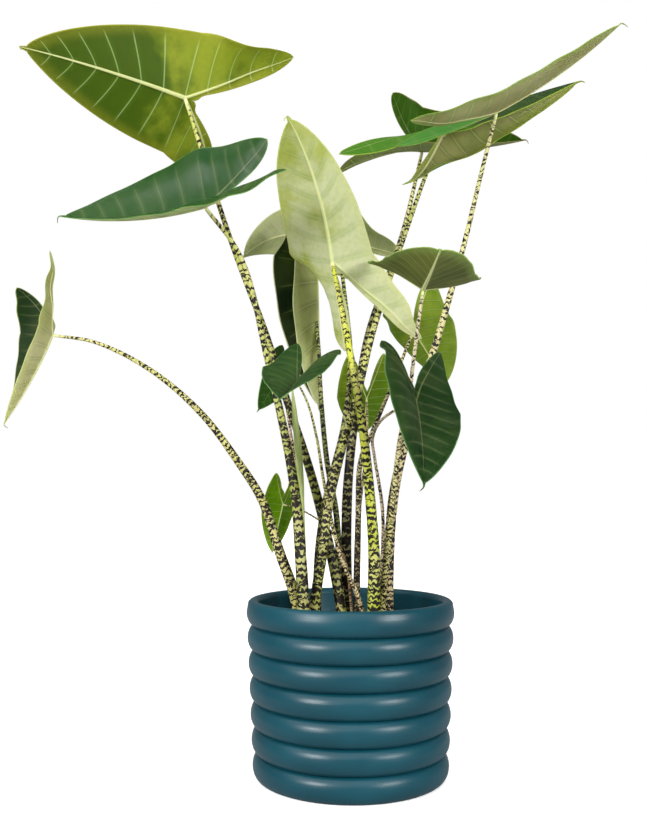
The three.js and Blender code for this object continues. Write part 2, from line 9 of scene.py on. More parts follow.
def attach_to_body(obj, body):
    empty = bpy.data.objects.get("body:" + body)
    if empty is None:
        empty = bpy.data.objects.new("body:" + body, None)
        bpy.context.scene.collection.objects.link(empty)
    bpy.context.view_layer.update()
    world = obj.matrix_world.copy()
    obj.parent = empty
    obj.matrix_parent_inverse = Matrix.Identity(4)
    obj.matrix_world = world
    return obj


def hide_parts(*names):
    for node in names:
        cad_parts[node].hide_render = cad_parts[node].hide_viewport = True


# A potted zebra-stemmed alocasia. The sizes below are in millimetres, and the meshes are in metres.
# The frame's origin is the centre of the pot's flat base, with +Z up and the front at -Y.
MM = 0.001
CAMERA = dict(at=(-31, -1117, 336.5), pitch=4.15, lens=41.56, sensor=36)

POT = dict(height=200, radius=120, beads=7, bead_depth=9, taper_per_bead=1.3, lip_radius=6.5,
           inner_radius=106, inner_floor_radius=97, floor_thickness=10, foot_radius=98, foot_round=4)
POT_SIDES = 192
ARCS_PER_BEAD = 16
# Degrees round the lip, from outside over the top: the first, the end and the step
LIP_ARC = (26, 181, 11)

SOIL = dict(bottom=10.3, level=166, crown=3, dip=2, roughness=2.2, wall_gap=1.3, rings=60, sides=144)
FOOT = 132

STALK_SIDES = 20
STALK_STEP = 3.5
TAPER_POWER = 1.15
SPLINE_STEPS = 40
# A stalk's top is rounded off within this many of its radii, and loses this share of its section
BLUNT_REACH = 2.5
BLUNT_DEPTH = 0.85
# How far a stalk's skin swells, in shares of its radius
SWELL = 0.05

THICKNESS = 0.7
# A blade's outline in shares of the midrib's length: how it narrows to the tip, how full it stays
# on the way, and how far the rows sweep forward to the margin
TIP_HALF_WIDTH = 0.015
NARROWING = 0.82
FULLNESS = 0.42
SWEEP = 0.5
SWEEP_CURVE = 1.3
DRIP_TIP = 0.07
DRIP_TIP_CURL = 90
WAVE_HEIGHT = 0.005
WAVES = 3
# The rim rolls from this share of the half width outwards
RIM_START = 0.55
# Straight steps that stand for the curve of a midrib, of a lobe and of a cross-section
MIDRIB_STEPS = 12
LOBE_STEPS = 5
SECTION_STEPS = 6

# A lobe's outer margin, its inner margin in shares of the blade's, how the joined margin fades
# into the free one behind the notch, within what width the lobes bend together, and how they roll
LOBE = dict(narrowing=0.8, fullness=0.25, inner_width=0.26, widening=0.8, inner_narrowing=2.6,
            inner_roundness=0.6, fade_reach=0.05, fade_stretch=1.2, shared_bend=0.12,
            roll_onset=1.6, roll_width=0.6)

# A blade's relief in millimetres: the rib's height and width, how far the blade swells between
# the side veins and how far it flutters. All but the flutter are for a midrib of the usual length.
USUAL_LENGTH = 200
RELIEF = dict(rib_height=2.3, rib_rounding=0.8, rib_width=1.0, rib_widening=1.9, quilt=0.5,
              flutter=0.9, flutter_scale=0.03)

# Shares across half a blade, closer together at the rib and at the margin
ACROSS = np.array([0, 0.015, 0.03, 0.05, 0.08, 0.12, 0.18, 0.26, 0.35, 0.45, 0.55, 0.65, 0.75,
                   0.84, 0.91, 0.96, 1])
ACROSS_INNER = np.array([0, 0.06, 0.13, 0.24, 0.4, 0.6, 0.8, 0.93, 1])
BLADE_ROWS = 56
LOBE_ROWS = 32
DRIP_ROWS = 6
# Side veins on each side of the midrib and of each lobe's rib
BLADE_VEINS = 7
LOBE_VEINS = 5
# A lobe's rib beside the midrib
LOBE_RIB = 0.75

# The values of a leaf that are given in degrees for each of its halves
HALF_ANGLES = ("spread", "fold", "curl", "lobe_bend", "lobe_roll", "rim_roll")

# Each leaf has the place where the stalk meets the blade, the place where the drip tip begins,
# and its own form. Pairs are (left, right) as seen on the upper side with the tip ahead.
# width, lobe and joined are shares of the midrib's length, and the rest are degrees.
LEAVES = dict(
    top_left=dict(
        attach=(-204, 38, 813), tip=(-363, -85, 819), roll=50,
        width=(0.4, 0.38), lobe=(0.78, 0.74), spread=(35, 45),
        fold=(30, 0), curl=(-15, 15), bend=25, twist=-25, joined=0.04,
        lobe_bend=(-25, -40), lobe_roll=(65, -10), rim_roll=(-5, -10)),
    mid_left=dict(
        attach=(-167, -49, 649), tip=(-340, -2, 650), roll=-34,
        width=(0.34, 0.4), lobe=(0.92, 0.59), spread=(31, 28),
        fold=(23, 44), curl=(-4, 35), bend=-23, twist=-4, joined=0.04,
        lobe_bend=(-13, -5), lobe_roll=(5, 29), rim_roll=(-17, -38)),
    centre_tall=dict(
        attach=(-21, -17, 593), tip=(-66, -148, 711), roll=-10,
        width=(0.27, 0.4), lobe=(0.82, 0.62), spread=(40, -2),
        fold=(40, 0), curl=(10, 50), bend=35, twist=-20, joined=0.04,
        lobe_bend=(0, 5), lobe_roll=(5, -85), rim_roll=(-10, -25)),
    centre_rear=dict(
        attach=(-12, 132, 657), tip=(-133, 91, 625), roll=30,
        width=(0.36, 0.38), lobe=(0.62, 0.7), spread=(8, 30),
        fold=(35, 10), curl=(-15, -35), bend=80, twist=0, joined=0.04,
        lobe_bend=(5, 0), lobe_roll=(60, 5), rim_roll=(10, 0)),
    centre_hanging=dict(
        attach=(-39, 81, 615), tip=(-36, 74, 432), roll=72,
        width=(0.27, 0.35), lobe=(0.27, 0.34), spread=(33, 35),
        fold=(75, 72), curl=(-2, 18), bend=-1, twist=-48, joined=0.04,
        lobe_bend=(-9, -5), lobe_roll=(2, -23), rim_roll=(-2, -1)),
    far_left=dict(
        attach=(-354, 5, 509), tip=(-391, -40, 404), roll=44,
        width=(0.2, 0.37), lobe=(0.82, 0.74), spread=(35, 34),
        fold=(32, 60), curl=(-1, 9), bend=-12, twist=-30, joined=0.07,
        lobe_bend=(-1, -25), lobe_roll=(70, -25), rim_roll=(18, 13)),
    top_right=dict(
        attach=(167, -59, 757), tip=(309, -51, 860), roll=0,
        width=(0.36, 0.34), lobe=(0.7, 0.76), spread=(30, 30),
        fold=(15, 0), curl=(20, 0), bend=-15, twist=10, joined=0.04,
        lobe_bend=(0, -20), lobe_roll=(5, 0), rim_roll=(0, 15)),
    right_second=dict(
        attach=(129, 80, 790), tip=(301, 103, 861), roll=-50,
        width=(0.28, 0.38), lobe=(0.74, 0.82), spread=(30, 35),
        fold=(-40, -50), curl=(-20, -35), bend=25, twist=-25, joined=0.04,
        lobe_bend=(0, -45), lobe_roll=(35, -50), rim_roll=(-35, -25)),
    right_third=dict(
        attach=(106, 172, 792), tip=(237, 137, 794), roll=54,
        width=(0.43, 0.38), lobe=(0.71, 0.8), spread=(50, 31),
        fold=(50, 43), curl=(15, 9), bend=-14, twist=-3, joined=0.04,
        lobe_bend=(-18, 51), lobe_roll=(63, -12), rim_roll=(14, 5)),
    right_small=dict(
        attach=(77, -100, 543), tip=(75, -262, 545), roll=-10,
        width=(0.36, 0.34), lobe=(0.76, 0.76), spread=(35, 35),
        fold=(30, 40), curl=(-15, -25), bend=-5, twist=-5, joined=0.04,
        lobe_bend=(-15, -10), lobe_roll=(5, 0), rim_roll=(15, -5)),
    front_right=dict(
        attach=(69, -94, 421), tip=(67, -184, 334), roll=-40,
        width=(0.42, 0.38), lobe=(0.78, 0.7), spread=(15, 35),
        fold=(20, 30), curl=(-5, -40), bend=10, twist=-20, joined=0.12,
        lobe_bend=(-35, 10), lobe_roll=(-5, -65), rim_roll=(5, -25)),
    right_rear=dict(
        attach=(82, 63, 524), tip=(131, 137, 467), roll=-5,
        width=(0.32, 0.5), lobe=(0.46, 0.78), spread=(25, 35),
        fold=(0, 10), curl=(10, -5), bend=0, twist=5, joined=0.04,
        lobe_bend=(20, -30), lobe_roll=(-25, 30), rim_roll=(10, -5)),
    young_centre=dict(
        attach=(24, 92, 441), tip=(20, 140, 398), roll=-5,
        width=(0.58, 0.46), lobe=(1.0, 1.0), spread=(22, 18),
        fold=(10, 10), curl=(-5, -5), bend=-20, twist=0, joined=0.12,
        lobe_bend=(-20, -10), lobe_roll=(5, 0), rim_roll=(-5, 0)),
    young_front=dict(
        attach=(-60, -81, 445), tip=(-74, -184, 416), roll=-20,
        width=(0.36, 0.38), lobe=(0.76, 0.7), spread=(30, 15),
        fold=(65, 20), curl=(-40, -35), bend=-15, twist=0, joined=0.08,
        lobe_bend=(-5, -25), lobe_roll=(-40, 25), rim_roll=(-15, 5)),
    young_low=dict(
        attach=(-81, 58, 307), tip=(-95, 81, 248), roll=-5,
        width=(0.42, 0.38), lobe=(0.72, 0.64), spread=(25, 30),
        fold=(20, 20), curl=(-10, -5), bend=0, twist=-20, joined=0.16,
        lobe_bend=(0, -40), lobe_roll=(15, 5), rim_roll=(0, -10)),
    young_rear=dict(
        attach=(-82, 86, 475), tip=(-110, 44, 424), roll=-50,
        width=(0.34, 0.36), lobe=(0.7, 0.68), spread=(30, 25),
        fold=(0, 20), curl=(-25, -10), bend=45, twist=-10, joined=0.04,
        lobe_bend=(25, 0), lobe_roll=(5, 5), rim_roll=(-10, 0)),
)

# Leaf stalks: the radius at the soil and at the blade, and the points that the stalk passes from
# its foot in the soil. Each ends at the leaf of the same name.
STALKS = dict(
    top_left=dict(
        radii=(6.8, 2.3),
        points=[(-8, -4), (-11, 0, 191), (-34, 13, 300), (-53, 10, 367), (-76, 5, 436),
                (-101, 8, 514), (-146, 32, 634)]),
    mid_left=dict(
        radii=(8.0, 2.2),
        points=[(-51, -36), (-54, -34, 195), (-56, -33, 238), (-63, -30, 319), (-74, -27, 383),
                (-96, -26, 478), (-127, -32, 595)]),
    centre_tall=dict(
        radii=(8.4, 2.6),
        points=[(27, -31), (26, -30, 195), (26, -32, 257), (20, -38, 338), (12, -52, 402),
                (2, -62, 460), (-9, -54, 523)]),
    centre_rear=dict(
        radii=(5.6, 2.2),
        points=[(-40, 3), (-39, 1, 190), (-36, -3, 260), (-28, 2, 313), (-5, 30, 409),
                (2, 44, 485), (-3, 78, 563)]),
    centre_hanging=dict(
        radii=(4.6, 2.0),
        points=[(-14, 20), (-13, 21, 188), (-15, 24, 289), (-27, 30, 361), (-34, 46, 437),
                (-37, 66, 500), (-42, 85, 572)]),
    far_left=dict(
        radii=(7.4, 1.7),
        points=[(-57, -14), (-61, -16, 193), (-82, -16, 256), (-102, -16, 314), (-129, -16, 357),
                (-174, -14, 415), (-233, -10, 465), (-300, -3, 499)]),
    top_right=dict(
        radii=(7.6, 2.0),
        points=[(44, 0), (43, -2, 193), (51, -6, 320), (72, -8, 407), (106, -4, 512),
                (136, -8, 617), (151, -32, 686)]),
    right_second=dict(
        radii=(6.6, 2.2),
        points=[(-40, -18), (-41, -15, 193), (-32, -15, 254), (-24, -12, 314), (-6, 0, 386),
                (10, 16, 441), (30, 32, 520), (72, 56, 647), (104, 70, 736)]),
    right_third=dict(
        radii=(7.4, 2.2),
        points=[(0, 30), (-3, 27, 188), (-3, 27, 305), (1, 28, 364), (10, 42, 433),
                (25, 60, 519), (70, 98, 651)]),
    right_small=dict(
        radii=(4.6, 1.7),
        points=[(32, -12), (36, -14, 190), (46, -22, 290), (56, -38, 383), (64, -62, 428),
                (68, -86, 473), (73, -101, 517)]),
    front_right=dict(
        radii=(2.6, 1.5),
        points=[(30, 12), (34, 13, 189), (39, 10, 295), (29, 2, 364), (26, -12, 384),
                (34, -40, 404), (52, -65, 416)]),
    right_rear=dict(
        radii=(4.8, 1.8),
        points=[(10, 12), (8, 12, 189), (10, 8, 296), (13, 6, 360), (28, 16, 396),
                (46, 30, 438)]),
    young_centre=dict(
        radii=(2.8, 1.4),
        points=[(6, 46), (8, 44, 186), (12, 50, 289), (22, 66, 373), (24, 78, 410)]),
    young_front=dict(
        radii=(3.2, 1.1),
        points=[(16, -14), (12, -22, 193), (-12, -32, 252), (-30, -54, 331), (-38, -68, 381),
                (-48, -76, 420)]),
    young_low=dict(
        radii=(2.2, 0.9),
        points=[(4, -16), (1, -8, 192), (-6, 0, 244), (-26, 30, 280), (-57, 46, 300)]),
    young_rear=dict(
        radii=(2.8, 1.4),
        points=[(-44, 18), (-50, 12, 190), (-56, 20, 266), (-66, 44, 361), (-78, 66, 435)]),
)

# The youngest leaf is still rolled. Its radii lie at shares of its length, and one edge of its
# blade, a step in shares of the radius, winds up it from the place where it starts to be rolled.
SPEAR = dict(points=[(-50, 9), (-51, 3, 190), (-54, -1, 266), (-57, -7, 329), (-62, -9, 384),
                     (-68, -8, 446)],
             shares=(0, 0.5, 0.62, 0.78, 0.92, 1), radii=(2.6, 2.2, 3.2, 4.2, 2.6, 0.8),
             sides=40, windings=0.9, rolled_from=0.52, step=0.22)

# How each leaf looks: its upper side, its underside, a second tint that clouds the underside,
# its margin, and how glossy its upper side is (roughness).
LEAF_LOOKS = dict(
    top_left=("#3f6a1c", "#374b04", "#7a8422", "#8f8c28", 0.42),
    mid_left=("#123a10", "#8d9b66", "#a9b083", "#5d8440", 0.3),
    centre_tall=("#3d6b24", "#bcc197", "#999f46", "#bcc07c", 0.4),
    centre_rear=("#35602a", "#a2a37f", "#8d9364", "#b3b884", 0.4),
    # centre_hanging's upper side faces the inside of its fold and is painted near black as deep shade, darker
    # than its own green
    centre_hanging=("#061203", "#9ea368", "#81884a", "#c9cda0", 0.7),
    far_left=("#0c2103", "#a19d78", "#8c8b5c", "#98a060", 0.6),
    top_right=("#2f6a16", "#7f7851", "#8f8a66", "#6f8a34", 0.35),
    # right_second's upper side is painted darker than its own green, as the shade the leaf above casts on it;
    # its lobes take the painted-lit colour further down
    right_second=("#0c2c02", "#8a8958", "#767a45", "#8fa03a", 0.6),
    right_third=("#234402", "#6b7346", "#7c8256", "#8d7a50", 0.4),
    right_small=("#2c5524", "#474b12", "#60622a", "#8aa35a", 0.4),
    front_right=("#0f2709", "#8d9a68", "#9aa578", "#4c7444", 0.42),
    right_rear=("#3a6a20", "#7f9330", "#64801c", "#8a9a4a", 0.45),
    young_centre=("#3f7528", "#6b7d14", "#4e6a0c", "#83984a", 0.42),
    young_front=("#183412", "#7f9a60", "#8aa468", "#4f7a46", 0.42),
    young_low=("#3d7424", "#6f9a08", "#587f06", "#9aa650", 0.45),
    young_rear=("#183503", "#6d9440", "#5f8634", "#7a985a", 0.42),
)
# The upper side of the lobes, painted lighter as lit, where it differs from the blade's upper side, which is
# painted dark as the shade of the leaf above
LOBE_UPPER_PAINTED_LIT = dict(right_second="#336208")
# Where the second tint gathers to one side: its slope along X per metre, and its lead at the stalk
CLOUD_LEAN = dict(top_left=(3.2, -0.12), centre_tall=(-2.6, -0.08))
RIB_COLOUR = "#d3d79a"
VEIN_COLOUR = "#c2c98c"
GRAIN_COLOUR = "#20340f"

# How each stalk looks: its ground near the blade, its ground at the soil, the share that is dark
# at the soil and near the blade, and the size of its marks.
STALK_LOOKS = dict(
    top_left=("#b4b85a", "#8a8f3c", 0.66, 0.4, 1.0),
    mid_left=("#b0b45c", "#868c3c", 0.66, 0.38, 1.0),
    centre_tall=("#bcc03c", "#a3ad35", 0.6, 0.26, 0.85),
    centre_rear=("#a9b158", "#82863f", 0.8, 0.5, 0.9),
    centre_hanging=("#8fa048", "#6f7a34", 0.7, 0.5, 0.6),
    far_left=("#b3b06a", "#b3ad62", 0.66, 0.4, 0.7),
    top_right=("#cbc78a", "#c4b184", 0.62, 0.34, 0.8),
    right_second=("#bcc068", "#9da04a", 0.66, 0.34, 0.9),
    right_third=("#c5c480", "#7b7a44", 0.84, 0.4, 1.0),
    right_small=("#c9bd9e", "#b8b45c", 0.6, 0.24, 0.6),
    front_right=("#cbb9a0", "#c8b190", 0.6, 0.4, 0.5),
    right_rear=("#c4b88a", "#7f7248", 0.84, 0.46, 0.6),
    young_centre=("#b9b070", "#8f8048", 0.66, 0.4, 0.5),
    young_front=("#a9ac5e", "#cbb38c", 0.5, 0.4, 0.5),
    young_low=("#8a6a4a", "#7c5a40", 0.36, 0.3, 0.5),
    young_rear=("#c4a690", "#c09a84", 0.56, 0.44, 0.5),
)
MARK_COLOUR = "#150e06"
BLUSH_COLOUR = "#cdbf96"
DULL_COLOUR = "#5f6a22"
# The marks of a stalk gather in bands this far apart. The dark share moves the level of the
# pattern at which a mark starts, by this much for the whole share.
BAND_GAP = 8
LEVEL_RANGE = 0.3

GLAZE = dict(dark="#083843", light="#0a3f4b", grain="#082a33")
ROLLED = dict(dark="#9db160", light="#bcc787", foot="#8f9f4a", seam="#6d8a30")
SOIL_TONES = ("#2c1f15", "#4a3626")
BARK = dict(count=520, sizes=(1.2, 3.6), seed=11, tones=("#33221a", "#6a4c33"))
PERLITE = dict(count=90, sizes=(0.8, 2.0), seed=12, tones=("#cfcabd", "#e8e4da"))

# Lights and floor, in metres, watts and degrees
SUN = dict(direction=(0.3, 0.55, -1), spread=90, strength=3.0)
SOFTBOXES = dict(softbox_left=dict(at=(-1.4, -1.5, 0.85), power=36),
                 softbox_right=dict(at=(1.44, -1.46, 0.85), power=34))
SOFTBOX_SIZE = (0.8, 0.6)
LIT_POINT = (0, 0, 0.35)
SURROUND = 0.25
FLOOR_RADIUS = 9
FLOOR_TONES = ("#a8a8a8", "#fafafa")
FLOOR_GLOW = 0.38

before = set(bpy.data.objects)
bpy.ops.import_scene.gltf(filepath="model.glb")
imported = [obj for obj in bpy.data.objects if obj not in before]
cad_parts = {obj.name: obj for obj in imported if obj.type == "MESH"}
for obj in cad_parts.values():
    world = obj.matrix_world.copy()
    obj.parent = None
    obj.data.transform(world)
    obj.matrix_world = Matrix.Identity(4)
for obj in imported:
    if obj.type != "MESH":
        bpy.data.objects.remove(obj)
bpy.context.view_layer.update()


# Small helpers

def smoothstep(x):
    x = np.clip(x, 0, 1)
    return x * x * (3 - 2 * x)


def linear(text):
    """A colour for a shader from its usual hexadecimal form."""
    channels = [int(text[i:i + 2], 16) / 255 for i in (1, 3, 5)]
    bright = [c / 12.92 if c <= 0.04045 else ((c + 0.055) / 1.055) ** 2.4 for c in channels]
    return (*bright, 1.0)


def unit(vectors):
    return vectors / np.maximum(np.linalg.norm(vectors, axis=-1, keepdims=True), 1e-12)


def make_object(name, points, faces, attributes=None):
    """A smooth mesh object from points in millimetres, with a number or a vector for each point."""
    mesh = bpy.data.meshes.new(name)
    mesh.from_pydata([tuple(p) for p in np.asarray(points) * MM], [], faces)
    for key, values in (attributes or {}).items():
        values = np.asarray(values, np.float32)
        vector = values.ndim == 2
        layer = mesh.attributes.new(key, "FLOAT_VECTOR" if vector else "FLOAT", "POINT")
        layer.data.foreach_set("vector" if vector else "value", values.ravel())
    mesh.validate()
    mesh.shade_smooth()
    made = bpy.data.objects.new(name, mesh)
    bpy.context.scene.collection.objects.link(made)
    return made


def adopt(piece, node, material):
    """The piece rides with the plant, stands for the node and takes its material."""
    piece.data.materials.append(material)
    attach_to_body(piece, "root")
    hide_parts(node)


class Shader:
    """A material's nodes, with short names for the few kinds used here."""

    def __init__(self, name, **sockets):
        self.material = bpy.data.materials.new(name)
        self.material.use_nodes = True
        self.tree = self.material.node_tree
        self.principled = self.tree.nodes["Principled BSDF"]
        for socket, value in sockets.items():
            self.principled.inputs[socket.replace("_", " ")].default_value = value

    def node(self, kind, inputs=None, **settings):
        made = self.tree.nodes.new(kind)
        for key, value in settings.items():
            setattr(made, key, value)
        for key, value in (inputs or {}).items():
            self.feed(made.inputs[key], value)
        return made

    def feed(self, socket, value):
        if isinstance(value, bpy.types.NodeSocket):
            self.tree.links.new(value, socket)
        else:
            socket.default_value = value

    def finish(self, **sockets):
        for socket, value in sockets.items():
            self.feed(self.principled.inputs[socket.replace("_", " ")], value)
        return self.material

    def attribute(self, name, output="Fac"):
        return self.node("ShaderNodeAttribute", attribute_name=name).outputs[output]

    def place(self):
        return self.node("ShaderNodeTexCoord").outputs["Object"]

    def noise(self, vector, scale, detail):
        inputs = {"Vector": vector, "Scale": scale, "Detail": detail}
        return self.node("ShaderNodeTexNoise", inputs).outputs["Fac"]

    def math(self, operation, a, b=0.0):
        return self.node("ShaderNodeMath", {0: a, 1: b}, operation=operation).outputs[0]

    def times(self, a, b):
        return self.math("MULTIPLY", a, b)

    def plus(self, a, b):
        return self.math("ADD", a, b)

    def minus(self, a, b):
        return self.math("SUBTRACT", a, b)

    def ease(self, value, low, high, to_low=0.0, to_high=1.0):
        """A smooth step from to_low to to_high as the value goes from low to high."""
        return self.node("ShaderNodeMapRange", {
            "Value": value, "From Min": low, "From Max": high, "To Min": to_low, "To Max": to_high,
        }, interpolation_type="SMOOTHSTEP").outputs[0]

    def mix(self, share, a, b):
        return self.node("ShaderNodeMix", {"Factor": share, "A": a, "B": b},
                         data_type="RGBA").outputs["Result"]

    def scaled(self, vector, factors):
        inputs = {0: vector, 1: factors}
        return self.node("ShaderNodeVectorMath", inputs, operation="MULTIPLY").outputs[0]

    def bump(self, height, distance):
        inputs = {"Height": height, "Distance": distance, "Strength": 1.0}
        return self.node("ShaderNodeBump", inputs).outputs["Normal"]


# Outline of one half of a flat blade

def half_width(v, width):
    """Half width at share v of the midrib, for a half that is `width` wide at the stalk."""
    share = np.clip(v, 0, 1)
    return (width - TIP_HALF_WIDTH) * (1 - share) ** NARROWING * (1 + FULLNESS * share) + TIP_HALF_WIDTH


def lobe_point(half, along, along_rib, off_rib):
    """A place on a lobe, from its distance along the lobe's rib and off it, outwards positive."""
    sine, cosine = sin(half["spread"]), cos(half["spread"])
    return dict(u=along_rib * sine + off_rib * cosine, v=-along_rib * cosine + off_rib * sine,
                along_lobe=along, off_rib=off_rib)


def blade_point(u, v):
    return dict(u=u, v=v, along_lobe=np.zeros_like(u), off_rib=np.zeros_like(u))


def blade_zone(half, along, across):
    edge = along + SWEEP * along * (1 - along)
    v = along + (edge - along) * across ** SWEEP_CURVE
    return blade_point(across * half_width(edge, half["width"]), v)


def drip_tip_zone(half, along, across):
    return blade_point(across * TIP_HALF_WIDTH * (1 - along), 1 + DRIP_TIP * along + 0 * across)


def lobe_outer_zone(half, along, across):
    start = half["width"] * sin(half["spread"])
    rib = along * half["lobe"]
    edge = start + (half["lobe"] - start) * along
    widest = half["width"] * cos(half["spread"])
    margin = widest * (1 - along) ** LOBE["narrowing"] * (1 + LOBE["fullness"] * along)
    return lobe_point(half, along + 0 * across, rib + (edge - rib) * across, across * margin)


def notch_share(half):
    """How far down the lobe's rib the two lobes are joined."""
    return half["joined"] * cos(half["spread"]) / half["lobe"]


def lobe_inner_zone(half, along, across):
    rib = along * half["lobe"]
    notch = half["joined"] * cos(half["spread"])
    joined = np.minimum(rib, 2 * notch + LOBE["fade_reach"]) * np.tan(half["spread"])
    narrowing = np.maximum(0, 1 - along ** LOBE["inner_narrowing"]) ** LOBE["inner_roundness"]
    free = LOBE["inner_width"] * half["width"] * along ** LOBE["widening"] * narrowing
    freed = smoothstep((rib - notch) / (LOBE["fade_stretch"] * notch + LOBE["fade_reach"]))
    off_rib = -across * (joined * (1 - freed) + free * freed)
    return lobe_point(half, along + 0 * across, rib + 0 * across, off_rib)


# Bending the flat blade

def walk(slope, reach, steps):
    """The end of a path of the given reach whose slope at each distance is slope(distance)."""
    ahead = up = 0.0
    for i in range(steps):
        angle = slope((i + 0.5) / steps * reach)
        ahead = ahead + np.cos(angle) * reach / steps
        up = up + np.sin(angle) * reach / steps
    return ahead, up


def lobe_reach(half):
    return half["lobe"] * cos(half["spread"])


def lengthwise(leaf, half, u, v):
    """Curve of the midrib ahead of the stalk, or of a lobe behind it."""
    curl = radians(DRIP_TIP_CURL) / DRIP_TIP

    def rib_slope(x):
        return -leaf["bend"] * np.minimum(x, 1) - curl * np.maximum(x - 1, 0)

    own = smoothstep(u / LOBE["shared_bend"])
    bend = leaf["mean_lobe_bend"] * (1 - own) + half["lobe_bend"] / lobe_reach(half) * own

    def lobe_slope(x):
        return bend * x

    ahead, up = walk(rib_slope, np.maximum(v, 0), MIDRIB_STEPS)
    back, down = walk(lobe_slope, np.maximum(-v, 0), LOBE_STEPS)
    front = v >= 0
    slope = np.where(front, rib_slope(np.maximum(v, 0)), lobe_slope(np.maximum(-v, 0)))
    return ahead * front - back * ~front, up * front - down * ~front, slope


def roll_lobe(half, place):
    """Rolls the lobe about its rib, and gives the flat place moved and its height."""
    distance = np.abs(place["off_rib"])
    share = distance / (half["width"] * LOBE["roll_width"])
    turn = half["lobe_roll"] * smoothstep(place["along_lobe"] * LOBE["roll_onset"]) * share
    turn = np.where(np.abs(turn) < 1e-6, 1e-6, turn)
    shift = (distance * np.sin(turn) / turn - distance) * np.sign(place["off_rib"])
    height = -distance * (1 - np.cos(turn)) / turn
    return place["u"] + shift * cos(half["spread"]), place["v"] + shift * sin(half["spread"]), height


def bend_blade(leaf, half, place):
    """A place of the flat half in space, in shares of the midrib's length."""
    u, v, height = roll_lobe(half, place)
    edge = np.where(v >= 0, half_width(v, half["width"]), half["width"])

    def slope(x):
        rim = half["rim_roll"] * smoothstep((x / edge - RIM_START) / (1 - RIM_START))
        return half["fold"] + half["curl"] * x / half["width"] + rim

    across, off = walk(slope, u, SECTION_STEPS)
    wave = 2 * pi * WAVES * v + half["wave_phase"]
    ripple = WAVE_HEIGHT * (u / half["width"]) ** 2 * np.sin(wave)
    across = half["sign"] * (across - np.sin(slope(u)) * height)
    off = off + np.cos(slope(u)) * height + ripple
    twist = leaf["twist"] * v
    x = across * np.cos(twist) - off * np.sin(twist)
    lift = across * np.sin(twist) + off * np.cos(twist)
    rib_y, rib_z, rib_slope = lengthwise(leaf, half, u, v)
    return np.stack([x, rib_y - np.sin(rib_slope) * lift, rib_z + np.cos(rib_slope) * lift], -1)


def read_leaf(spec):
    """A leaf's parameters in radians, with one record for each half."""
    halves = []
    for i, sign in enumerate((-1, 1)):
        half = {key: radians(spec[key][i]) for key in HALF_ANGLES}
        half.update(sign=sign, wave_phase=2 if i == 0 else 0, joined=spec["joined"],
                    width=spec["width"][i], lobe=spec["lobe"][i])
        halves.append(half)
    mean = sum(half["lobe_bend"] / lobe_reach(half) for half in halves) / 2
    return dict(halves=halves, bend=radians(spec["bend"]), twist=radians(spec["twist"]), mean_lobe_bend=mean)


def leaf_frame(spec, leaf):
    """Attachment, rotation and scale that carry the bent blade to its place on the plant."""
    end = bend_blade(leaf, leaf["halves"][1], blade_point(np.zeros(1), np.ones(1)))[0]
    attach = np.array(spec["attach"], float)
    chord = np.array(spec["tip"], float) - attach
    ahead = unit(chord)
    level = unit(np.array([0, 0, 1]) - ahead[2] * ahead)
    side = np.cross(ahead, level)
    roll = radians(spec["roll"])
    up = level * cos(roll) + side * sin(roll)
    own = unit(end)
    own_up = np.cross([1, 0, 0], own)
    turn = np.outer(np.cross(ahead, up), [1, 0, 0]) + np.outer(ahead, own) + np.outer(up, own_up)
    return attach, turn, np.linalg.norm(chord) / np.linalg.norm(end)


# One blade as a fine mesh

def leaf_grids(leaf):
    """The grids of both halves, each with its points and what the colours need at each point."""
    blade_rows = np.linspace(0, 1, BLADE_ROWS + 1)
    for half in leaf["halves"]:
        notch = notch_share(half)
        lobe_rows = np.concatenate([[0, notch / 2], notch + (1 - notch) * np.linspace(0, 1, LOBE_ROWS)])
        drip_rows = np.linspace(0, 1, DRIP_ROWS + 1)
        for zone, rows, across in (
            (lobe_outer_zone, lobe_rows[::-1], ACROSS),
            (blade_zone, blade_rows, ACROSS),
            (drip_tip_zone, drip_rows, ACROSS),
            (lobe_inner_zone, lobe_rows[::-1], ACROSS_INNER[::-1]),
        ):
            place = zone(half, rows[:, None], across[None, :])
            points = bend_blade(leaf, half, place)
            shape = points.shape[:2]
            row = np.broadcast_to(rows[:, None], shape)
            share = np.broadcast_to(across[None, :], shape)
            on_blade = zone is blade_zone
            on_lobe = zone in (lobe_outer_zone, lobe_inner_zone)
            rib = np.abs(place["off_rib"]) if on_lobe else np.abs(place["u"])
            reach = rib / np.maximum(share, 1e-3)
            edge = reach * (1 - share)
            if zone is lobe_inner_zone:
                edge = np.where(row <= notch + 1e-6, 1.0, edge)
            vein = row * BLADE_VEINS if on_blade else row * LOBE_VEINS
            if zone is drip_tip_zone:
                vein = vein * 0 + 0.5
            strength = 1 - row if on_blade else (LOBE_RIB * (1 - row) if on_lobe else 0 * row)
            signed_row = row if on_blade else (-row if on_lobe else 1 + 0 * row)
            yield dict(points=points, flip=half["sign"] < 0, rib=rib, edge=edge, vein=vein,
                       share=share, strength=strength, row=signed_row)


